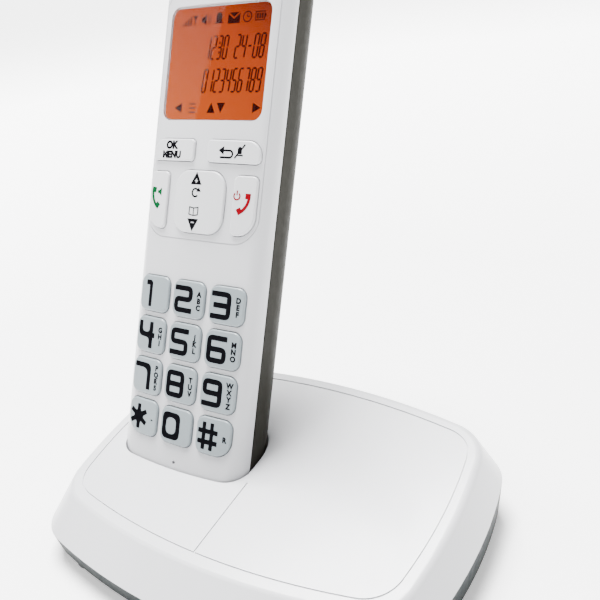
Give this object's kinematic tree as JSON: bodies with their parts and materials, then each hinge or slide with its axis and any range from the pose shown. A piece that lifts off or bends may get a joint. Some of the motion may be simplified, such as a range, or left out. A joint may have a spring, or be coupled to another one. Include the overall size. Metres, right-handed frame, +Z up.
{
  "type": "cordless phone with base",
  "caption": "Cordless handset leaning back in the pocket of a low rounded charging base, with dial keys, two-way key and amber display.",
  "frame": {"origin": "on the table, under the middle of the base; the rubber feet stand on z = 0", "axes": "+Z up, -Y towards the user, +X to the user's right"},
  "size_m": [0.1334, 0.1203, 0.1643],
  "materials": {
    "shell_white": "satin gloss, moulded",
    "shell_grey": "satin, fine texture",
    "base_dark": "satin, fine texture",
    "key_grey": "satin, printed legend",
    "key_white": "satin gloss, printed legend",
    "window": "clear, polished",
    "lcd": "amber, lit from behind",
    "backlight": "translucent light guide",
    "rubber_dark": "matte",
    "mat_rubber": "matte silicone",
    "board_green": "solder mask over glass fibre",
    "steel": "plated steel",
    "tin": "tinned steel can",
    "gold": "gold-plated brass",
    "nickel": "nickel plate",
    "black_plastic": "satin moulded",
    "cell_wrap": "printed shrink wrap",
    "mesh": "woven dust mesh"
  },
  "bodies": {
    "base": {"base_top_shell": "shell_white", "base_bottom_shell": "base_dark", "rubber_feet": "rubber_dark", "base_screws": "steel", "base_circuit_board": "board_green", "radio_shield_can": "tin", "line_socket": "black_plastic", "line_socket_wires": "gold", "power_socket": "black_plastic", "power_socket_pin": "nickel", "page_switch": "black_plastic", "charge_pin_holder": "black_plastic", "charge_pin_springs": "steel"},
    "handset": {"handset_front_shell": "shell_white", "handset_rear_shell": "shell_grey", "display_window": "window", "lcd_panel": "lcd", "lcd_backlight": "backlight", "keypad_mat": "mat_rubber", "handset_circuit_board": "board_green", "earpiece_mesh": "mesh", "earpiece_speaker": "black_plastic", "handsfree_speaker": "black_plastic", "microphone": "tin", "battery_cell_left": "cell_wrap", "battery_cell_right": "cell_wrap", "battery_contact_plates": "nickel", "battery_springs": "steel", "handset_screws": "steel", "handset_charge_contacts": "gold"},
    "battery_door": {"battery_door": "shell_grey"},
    "page_button": {"page_button": "base_dark"},
    "charge_pin_left": {"charge_pin_left": "gold"},
    "charge_pin_right": {"charge_pin_right": "gold"},
    "key_navigation": {"key_navigation": "key_white"},
    "key_1": {"key_1": "key_grey"},
    "key_2": {"key_2": "key_grey"},
    "key_3": {"key_3": "key_grey"},
    "key_4": {"key_4": "key_grey"},
    "key_5": {"key_5": "key_grey"},
    "key_6": {"key_6": "key_grey"},
    "key_7": {"key_7": "key_grey"},
    "key_8": {"key_8": "key_grey"},
    "key_9": {"key_9": "key_grey"},
    "key_star": {"key_star": "key_grey"},
    "key_0": {"key_0": "key_grey"},
    "key_hash": {"key_hash": "key_grey"},
    "key_menu": {"key_menu": "key_white"},
    "key_back": {"key_back": "key_white"},
    "key_talk": {"key_talk": "key_white"},
    "key_end": {"key_end": "key_white"}
  },
  "joints": [
    {"name": "handset_lift", "type": "slide", "parent": "base", "child": "handset", "axis": [0, 0.4188, 0.9081], "range_m": [0, 0.07]},
    {"name": "key_1_press", "type": "slide", "parent": "handset", "child": "key_1", "axis": [0, 0.9081, -0.4188], "range_m": [0, 0.001], "stiffness_N_per_m": 900, "springref_m": -0.0005},
    {"name": "key_2_press", "type": "slide", "parent": "handset", "child": "key_2", "axis": [0, 0.9081, -0.4188], "range_m": [0, 0.001], "stiffness_N_per_m": 900, "springref_m": -0.0005},
    {"name": "key_3_press", "type": "slide", "parent": "handset", "child": "key_3", "axis": [0, 0.9081, -0.4188], "range_m": [0, 0.001], "stiffness_N_per_m": 900, "springref_m": -0.0005},
    {"name": "key_4_press", "type": "slide", "parent": "handset", "child": "key_4", "axis": [0, 0.9081, -0.4188], "range_m": [0, 0.001], "stiffness_N_per_m": 900, "springref_m": -0.0005},
    {"name": "key_5_press", "type": "slide", "parent": "handset", "child": "key_5", "axis": [0, 0.9081, -0.4188], "range_m": [0, 0.001], "stiffness_N_per_m": 900, "springref_m": -0.0005},
    {"name": "key_6_press", "type": "slide", "parent": "handset", "child": "key_6", "axis": [0, 0.9081, -0.4188], "range_m": [0, 0.001], "stiffness_N_per_m": 900, "springref_m": -0.0005},
    {"name": "key_7_press", "type": "slide", "parent": "handset", "child": "key_7", "axis": [0, 0.9081, -0.4188], "range_m": [0, 0.001], "stiffness_N_per_m": 900, "springref_m": -0.0005},
    {"name": "key_8_press", "type": "slide", "parent": "handset", "child": "key_8", "axis": [0, 0.9081, -0.4188], "range_m": [0, 0.001], "stiffness_N_per_m": 900, "springref_m": -0.0005},
    {"name": "key_9_press", "type": "slide", "parent": "handset", "child": "key_9", "axis": [0, 0.9081, -0.4188], "range_m": [0, 0.001], "stiffness_N_per_m": 900, "springref_m": -0.0005},
    {"name": "key_star_press", "type": "slide", "parent": "handset", "child": "key_star", "axis": [0, 0.9081, -0.4188], "range_m": [0, 0.001], "stiffness_N_per_m": 900, "springref_m": -0.0005},
    {"name": "key_0_press", "type": "slide", "parent": "handset", "child": "key_0", "axis": [0, 0.9081, -0.4188], "range_m": [0, 0.001], "stiffness_N_per_m": 900, "springref_m": -0.0005},
    {"name": "key_hash_press", "type": "slide", "parent": "handset", "child": "key_hash", "axis": [0, 0.9081, -0.4188], "range_m": [0, 0.001], "stiffness_N_per_m": 900, "springref_m": -0.0005},
    {"name": "key_menu_press", "type": "slide", "parent": "handset", "child": "key_menu", "axis": [0, 0.9081, -0.4188], "range_m": [0, 0.001], "stiffness_N_per_m": 900, "springref_m": -0.0005},
    {"name": "key_back_press", "type": "slide", "parent": "handset", "child": "key_back", "axis": [0, 0.9081, -0.4188], "range_m": [0, 0.001], "stiffness_N_per_m": 900, "springref_m": -0.0005},
    {"name": "key_talk_press", "type": "slide", "parent": "handset", "child": "key_talk", "axis": [0, 0.9081, -0.4188], "range_m": [0, 0.001], "stiffness_N_per_m": 900, "springref_m": -0.0005},
    {"name": "key_end_press", "type": "slide", "parent": "handset", "child": "key_end", "axis": [0, 0.9081, -0.4188], "range_m": [0, 0.001], "stiffness_N_per_m": 900, "springref_m": -0.0005},
    {"name": "key_navigation_tilt", "type": "hinge", "parent": "handset", "child": "key_navigation", "pos_m": [-0.0279, 0.02611, 0.09621], "axis": [1, 0, 0], "range_deg": [-2.5, 2.5], "stiffness_Nm_per_rad": 0.4},
    {"name": "battery_door_slide", "type": "slide", "parent": "handset", "child": "battery_door", "axis": [0, -0.4188, -0.9081], "range_m": [0, 0.0055]},
    {"name": "page_button_press", "type": "slide", "parent": "base", "child": "page_button", "axis": [0, -1, 0], "range_m": [0, 0.001], "stiffness_N_per_m": 900, "springref_m": -0.0005},
    {"name": "charge_pin_left_press", "type": "slide", "parent": "base", "child": "charge_pin_left", "axis": [0, -0.4188, -0.9081], "range_m": [0, 0.001], "stiffness_N_per_m": 400, "springref_m": -0.0005},
    {"name": "charge_pin_right_press", "type": "slide", "parent": "base", "child": "charge_pin_right", "axis": [0, -0.4188, -0.9081], "range_m": [0, 0.001], "stiffness_N_per_m": 400, "springref_m": -0.0005}
  ]
}
